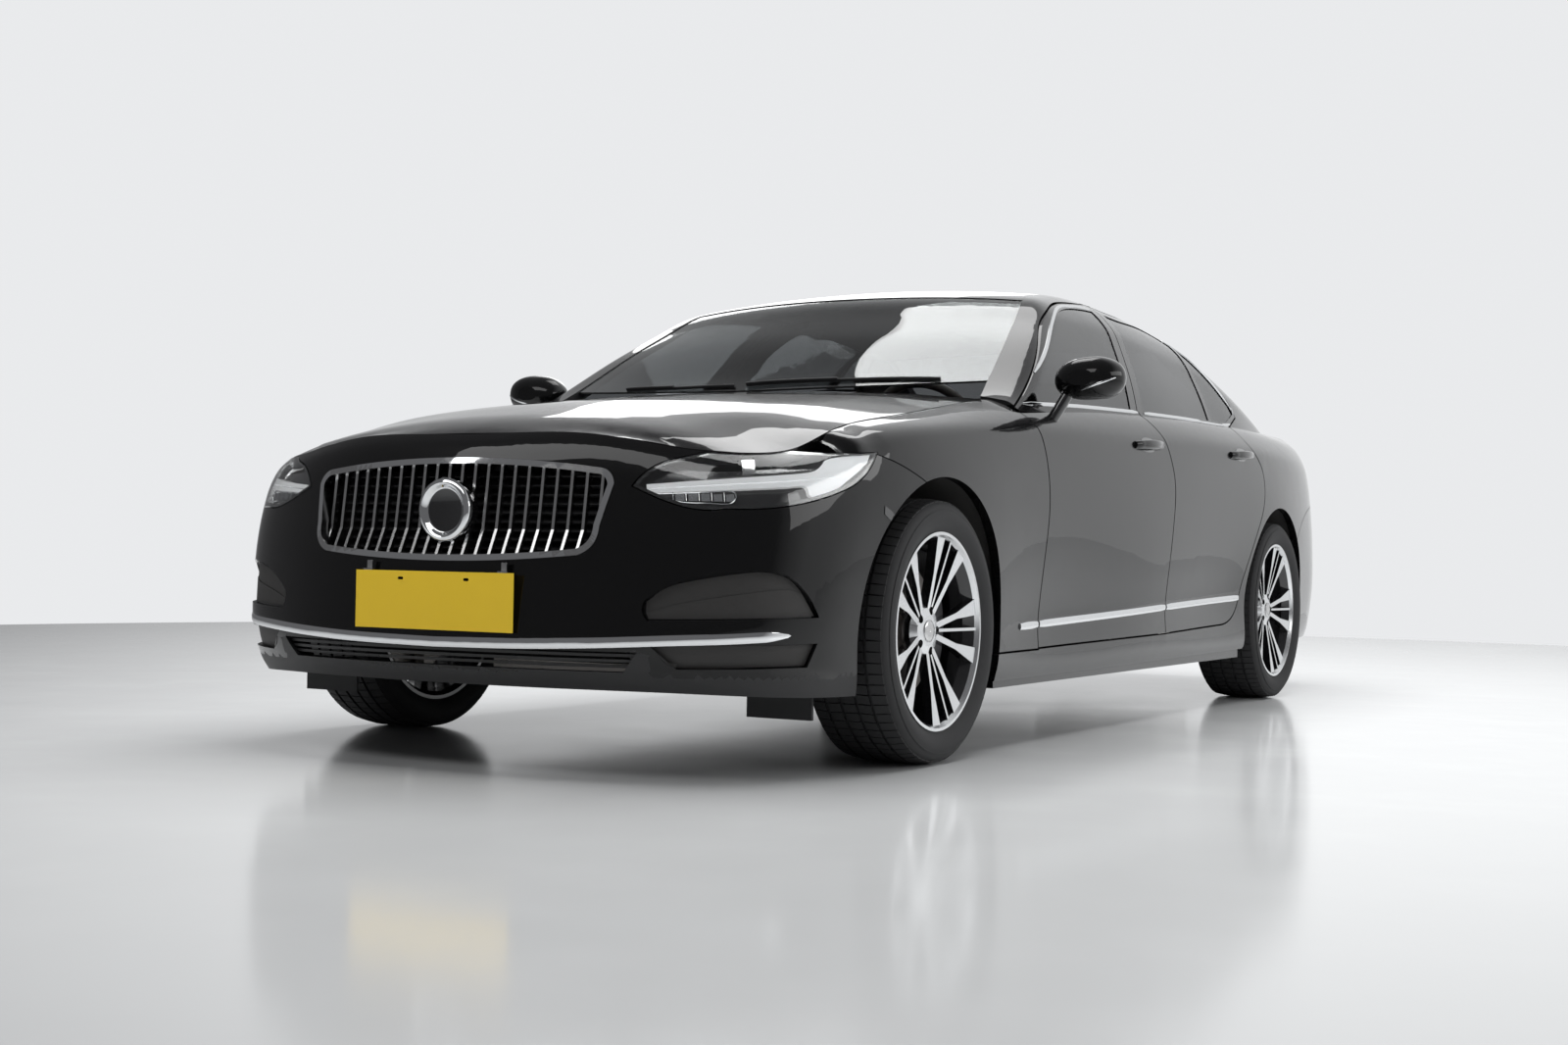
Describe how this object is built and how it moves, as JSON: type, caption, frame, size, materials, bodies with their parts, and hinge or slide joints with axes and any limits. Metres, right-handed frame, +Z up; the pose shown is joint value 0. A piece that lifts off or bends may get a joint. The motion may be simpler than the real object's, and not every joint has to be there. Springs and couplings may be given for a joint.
{
  "type": "sedan car",
  "caption": "Long black four-door sedan with upright-bar chrome grille, swept headlamps, hinged doors and lids, steered front wheels and turning rear wheels.",
  "frame": {"origin": "on the ground under the middle of the overall length and width", "axes": "+X towards the nose, +Y towards the car's left side, +Z up"},
  "size_m": [5.0914, 2.1953, 1.4501],
  "materials": {
    "body_paint": "gloss black",
    "glazing": "clear, slightly green",
    "tyre_rubber": "matte",
    "alloy": "painted silver",
    "cast_iron": "machined",
    "underbody": "satin",
    "steel": "dull",
    "chrome": "bright",
    "dark_plastic": "grained",
    "lamp_housing": "gloss",
    "red_lens": "gloss",
    "plate_sheet": "satin",
    "leather": "dark"
  },
  "bodies": {
    "body": {"side_frame_left": "body_paint", "side_frame_right": "body_paint", "fender_left": "body_paint", "fender_right": "body_paint", "front_bumper": "body_paint", "rear_bumper": "body_paint", "roof_panel": "body_paint", "windscreen": "glazing", "rear_window": "glazing", "headlamp_lenses": "glazing", "headlamp_trays": "lamp_housing", "tail_lamps": "red_lens", "grille": "chrome", "number_plate": "plate_sheet", "floor_pan": "underbody", "engine_bay": "underbody", "boot_floor": "underbody", "radiator": "alloy", "engine_block": "cast_iron", "front_subframe": "underbody", "rear_subframe": "underbody", "exhaust": "steel", "dashboard": "dark_plastic", "front_seats": "leather", "rear_bench": "leather"},
    "door_front_left": {"door_front_left": "body_paint", "glass_front_door_left": "glazing", "door_mirror_left": "body_paint"},
    "door_front_right": {"door_front_right": "body_paint", "glass_front_door_right": "glazing", "door_mirror_right": "body_paint"},
    "door_rear_left": {"door_rear_left": "body_paint", "glass_rear_door_left": "glazing"},
    "door_rear_right": {"door_rear_right": "body_paint", "glass_rear_door_right": "glazing"},
    "bonnet": {"bonnet": "body_paint"},
    "boot_lid": {"boot_lid": "body_paint"},
    "steering_wheel": {"steering_wheel": "leather"},
    "knuckle_left": {"front_knuckle_left": "cast_iron"},
    "knuckle_right": {"front_knuckle_right": "cast_iron"},
    "wheel_front_left": {"tyre_front_left": "tyre_rubber", "rim_front_left": "alloy", "disc_front_left": "cast_iron"},
    "wheel_front_right": {"tyre_front_right": "tyre_rubber", "rim_front_right": "alloy", "disc_front_right": "cast_iron"},
    "wheel_rear_left": {"tyre_rear_left": "tyre_rubber", "rim_rear_left": "alloy", "disc_rear_left": "cast_iron"},
    "wheel_rear_right": {"tyre_rear_right": "tyre_rubber", "rim_rear_right": "alloy", "disc_rear_right": "cast_iron"}
  },
  "joints": [
    {"name": "steer_left", "type": "hinge", "parent": "body", "child": "knuckle_left", "pos_m": [1.65, 0.765, 0.3395], "axis": [0, 0, 1], "range_deg": [-35, 35]},
    {"name": "steer_right", "type": "hinge", "parent": "body", "child": "knuckle_right", "pos_m": [1.65, -0.765, 0.3395], "axis": [0, 0, 1], "range_deg": [-35, 35]},
    {"name": "steering_wheel_turn", "type": "hinge", "parent": "body", "child": "steering_wheel", "pos_m": [0.6, 0.37, 0.9], "axis": [-0.9272, 0, 0.3746], "range_deg": [-525, 525]},
    {"name": "wheel_front_left_spin", "type": "hinge", "parent": "knuckle_left", "child": "wheel_front_left", "pos_m": [1.65, 0.814, 0.3395], "axis": [0, 1, 0], "continuous": true},
    {"name": "wheel_front_right_spin", "type": "hinge", "parent": "knuckle_right", "child": "wheel_front_right", "pos_m": [1.65, -0.814, 0.3395], "axis": [0, 1, 0], "continuous": true},
    {"name": "wheel_rear_left_spin", "type": "hinge", "parent": "body", "child": "wheel_rear_left", "pos_m": [-1.411, 0.814, 0.3395], "axis": [0, 1, 0], "continuous": true},
    {"name": "wheel_rear_right_spin", "type": "hinge", "parent": "body", "child": "wheel_rear_right", "pos_m": [-1.411, -0.814, 0.3395], "axis": [0, 1, 0], "continuous": true},
    {"name": "door_front_left_hinge", "type": "hinge", "parent": "body", "child": "door_front_left", "pos_m": [1.066, 0.942, 0.6], "axis": [0, 0, -1], "range_deg": [0, 65]},
    {"name": "door_front_right_hinge", "type": "hinge", "parent": "body", "child": "door_front_right", "pos_m": [1.066, -0.942, 0.6], "axis": [0, 0, 1], "range_deg": [0, 65]},
    {"name": "door_rear_left_hinge", "type": "hinge", "parent": "body", "child": "door_rear_left", "pos_m": [0.035, 0.942, 0.6], "axis": [0, 0, -1], "range_deg": [0, 62]},
    {"name": "door_rear_right_hinge", "type": "hinge", "parent": "body", "child": "door_rear_right", "pos_m": [0.035, -0.942, 0.6], "axis": [0, 0, 1], "range_deg": [0, 62]},
    {"name": "bonnet_hinge", "type": "hinge", "parent": "body", "child": "bonnet", "pos_m": [1.03, 0, 0.985], "axis": [0, -1, 0], "range_deg": [0, 50]},
    {"name": "boot_lid_hinge", "type": "hinge", "parent": "body", "child": "boot_lid", "pos_m": [-1.741, 0, 1.098], "axis": [0, 1, 0], "range_deg": [0, 75]}
  ],
  "couplings": [
    {"joint": "steer_right", "follows": "steer_left", "ratio": 1},
    {"joint": "steering_wheel_turn", "follows": "steer_left", "ratio": 15}
  ]
}
